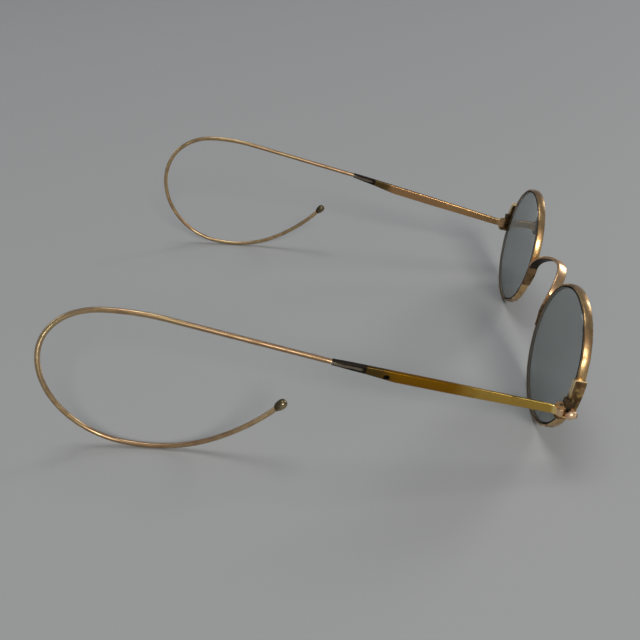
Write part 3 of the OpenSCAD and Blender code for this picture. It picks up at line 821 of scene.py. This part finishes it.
# The wire's section, [out, along]: flat outside with two chamfers, like rolled wire
inside, shoulder = cable_radius - wire_thick, cable_radius - wire_corner
wire_outline = [(inside, 0), (shoulder, 0), (cable_radius, wire_corner),
                (cable_radius, wire_width - wire_corner), (shoulder, wire_width),
                (inside, wire_width)]
for side in SIDES:
    bm = bmesh.new()
    wire = [bm.verts.new((out, 0, s)) for out, s in wire_outline]
    for pair in zip(wire, wire[1:] + wire[:1]):
        bm.edges.new(pair)
    modify(bm, "SCREW", {"axis": "Z", "angle": 2 * math.pi, "iterations": turns,
                         "screw_offset": (cable_length - wire_width) / turns,
                         "steps": turn_steps, "render_steps": turn_steps})
    close_holes(bm)
    for v in bm.verts:
        out, lift, s = v.co
        back, up, heading = cable_place(max(s, 0))
        v.co = CABLE @ Vector((out, back - lift * math.sin(heading),
                               up + lift * math.cos(heading)))
    set_on_side(bm, side, Matrix())
    make_piece(side + "_winding", bm, cable_gold, side + "_temple",
               [side + "_cable_winding"], 40)
    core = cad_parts[side + "_core_wire"]
    core.data.materials.clear()
    core.data.materials.append(core_steel)

# Tips: one dark bronze egg on each cable's end, its blunt end outwards so that it can't scratch.
# A ring of solder, gone black, holds it on the cable.

tip_length, tip_radius, tip_steps = 3.3 * MM, 1.25 * MM, 32
neck_radius, neck_lap = cable_radius * 1.08, 0.25 * MM
blunt, lean = 0.96, 0.26  # how full the egg is in its middle, and how much fuller further out
ring_black = (0.03, 0.022, 0.015, 1)
TIP = cable_frame(*cable_place(cable_length))


def tip_marks(place, clouds, specks):
    """A black ring where the solder holds the cable."""
    ring = (place.away(TIP.translation) + (specks - 0.5) * (0.3 * MM)).step(1.25 * MM, 0.95 * MM)
    return [(ring, ring_black, 0.25)]


tip_bronze = metal("tip_bronze", (0.36, 0.29, 0.17, 1), (0.12, 0.09, 0.05, 1), 0.20,
                   patches=(0.42, 0.56), grain=1.2, marks=tip_marks)
outline = [(0, -neck_lap), (neck_radius, -neck_lap)]
for i in range(tip_steps + 1):
    a = math.pi * i / tip_steps
    outline.append((tip_radius * math.sin(a) * (blunt - lean * math.cos(a))
                    + neck_radius * math.cos(a / 2) ** 6,
                    tip_length / 2 * (1 - math.cos(a))))
outline[-1] = (0, tip_length)
for side in SIDES:
    bm = spin_outline(outline, steps=72)
    set_on_side(bm, side, TIP)
    make_piece(side + "_egg_tip", bm, tip_bronze, side + "_temple",
               [side + "_tip"], 50)

# Table, lamps and camera: a plain pale table top in a softly lit room, with one warmer lamp by
# the window, seen from above the wearer's right side.

camera_place = Vector((-179.7, -10.304, 130.2)) * MM
camera_forward, camera_right = Vector((0.8185, 0.0645, -0.5709)), Vector((0.0869, -0.9961, 0.0121))
lens_length, film_width = 37.52, 36  # in millimetres
table_size, room_light = 6, 0.24

bpy.ops.mesh.primitive_plane_add(size=table_size)
table = bpy.context.object
table.name = "table"
paint, place = new_material("table_pale")
finish_material(place, {"Base Color": (0.38, 0.385, 0.38, 1), "Roughness": 0.7})
table.data.materials.append(paint)

world = bpy.data.worlds.new("room")
bpy.context.scene.world = world
world.use_nodes = True
world.node_tree.nodes["Background"].inputs["Color"].default_value = (0.85, 0.9, 1.0, 1)
world.node_tree.nodes["Background"].inputs["Strength"].default_value = room_light


def lamp(name, direction, distance, width, height, watts, colour=(1, 1, 1)):
    """A soft lamp in this direction from the middle of the glasses, turned towards it."""
    data = bpy.data.lights.new(name, "AREA")
    data.shape = "RECTANGLE"
    data.size, data.size_y = width, height
    data.energy = watts
    data.color = colour
    light = bpy.data.objects.new(name, data)
    bpy.context.scene.collection.objects.link(light)
    way = Vector(direction).normalized()
    light.location = way * distance
    light.rotation_euler = way.to_track_quat("Z", "Y").to_euler()


lamp("ceiling", (0.2, 0.1, 1), 2.2, 0.9, 0.9, 12)
lamp("window", (-0.76, -0.28, 0.58), 1.6, 0.40, 0.40, 11, (1, 0.97, 0.9))
lamp("far_wall", (0.62, -0.67, 0.42), 2.4, 0.6, 0.8, 11)

camera_data = bpy.data.cameras.new("camera")
camera_data.lens, camera_data.sensor_width = lens_length, film_width
camera_data.clip_start = 0.01
camera = bpy.data.objects.new("camera", camera_data)
bpy.context.scene.collection.objects.link(camera)
forward = camera_forward.normalized()
right = (camera_right - camera_right.dot(forward) * forward).normalized()
turn = Matrix((right, right.cross(forward), -forward)).transposed().to_4x4()
camera.matrix_world = Matrix.Translation(camera_place) @ turn
bpy.context.scene.camera = camera
bpy.context.scene.view_settings.view_transform = "Standard"
